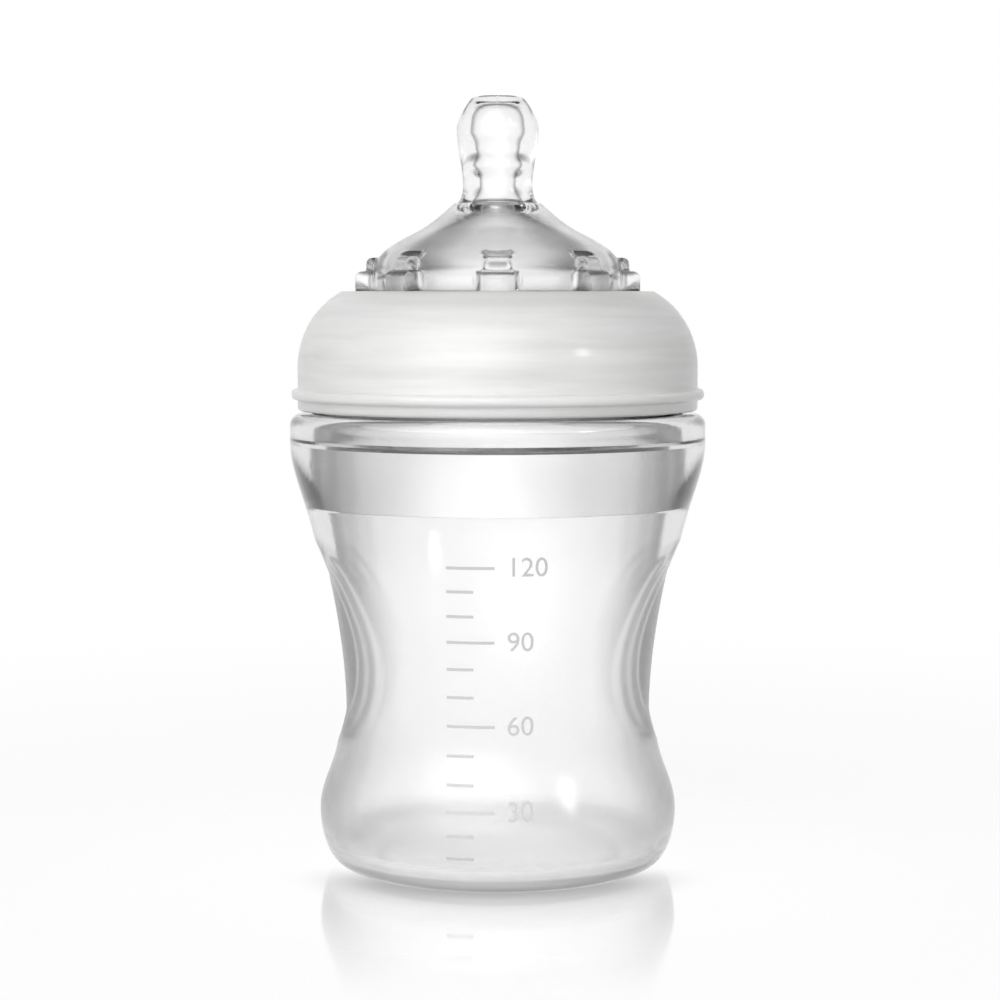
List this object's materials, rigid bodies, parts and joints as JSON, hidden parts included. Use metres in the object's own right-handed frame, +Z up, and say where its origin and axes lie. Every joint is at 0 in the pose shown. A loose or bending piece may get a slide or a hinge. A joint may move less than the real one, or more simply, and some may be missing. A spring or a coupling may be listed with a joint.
{
  "type": "baby bottle",
  "caption": "Soft wide-neck feeding bottle: hazy silicone body with finger grips, stiff clear neck ring, and a frosted screw collar that clamps a clear silicone nipple and unscrews with it.",
  "frame": {"origin": "middle of the foot, on the surface that the bottle stands on", "axes": "+Z up along the axis of the bottle; the finger grips face +X and -X; the front faces -Y"},
  "size_m": [0.0728, 0.0728, 0.1343],
  "materials": {
    "silicone_body": "hazy clear soft silicone, smooth",
    "clear_ring": "clear polished plastic",
    "frosted_collar": "frosted milky translucent plastic",
    "silicone_nipple": "clear glossy silicone"
  },
  "bodies": {
    "bottle": {"bottle_body": "silicone_body", "neck_ring": "clear_ring"},
    "nipple": {"nipple": "silicone_nipple"},
    "collar": {"screw_collar": "frosted_collar"}
  },
  "joints": [
    {"name": "nipple_lift", "type": "slide", "parent": "bottle", "child": "nipple", "axis": [0, 0, 1], "range_m": [0, 0.018]},
    {"name": "collar_turn", "type": "hinge", "parent": "nipple", "child": "collar", "pos_m": [0, 0, 0.0875], "axis": [0, 0, 1], "range_deg": [0, 720]}
  ],
  "couplings": [
    {"joint": "nipple_lift", "follows": "collar_turn", "m_per_rad": 0.0014324}
  ]
}
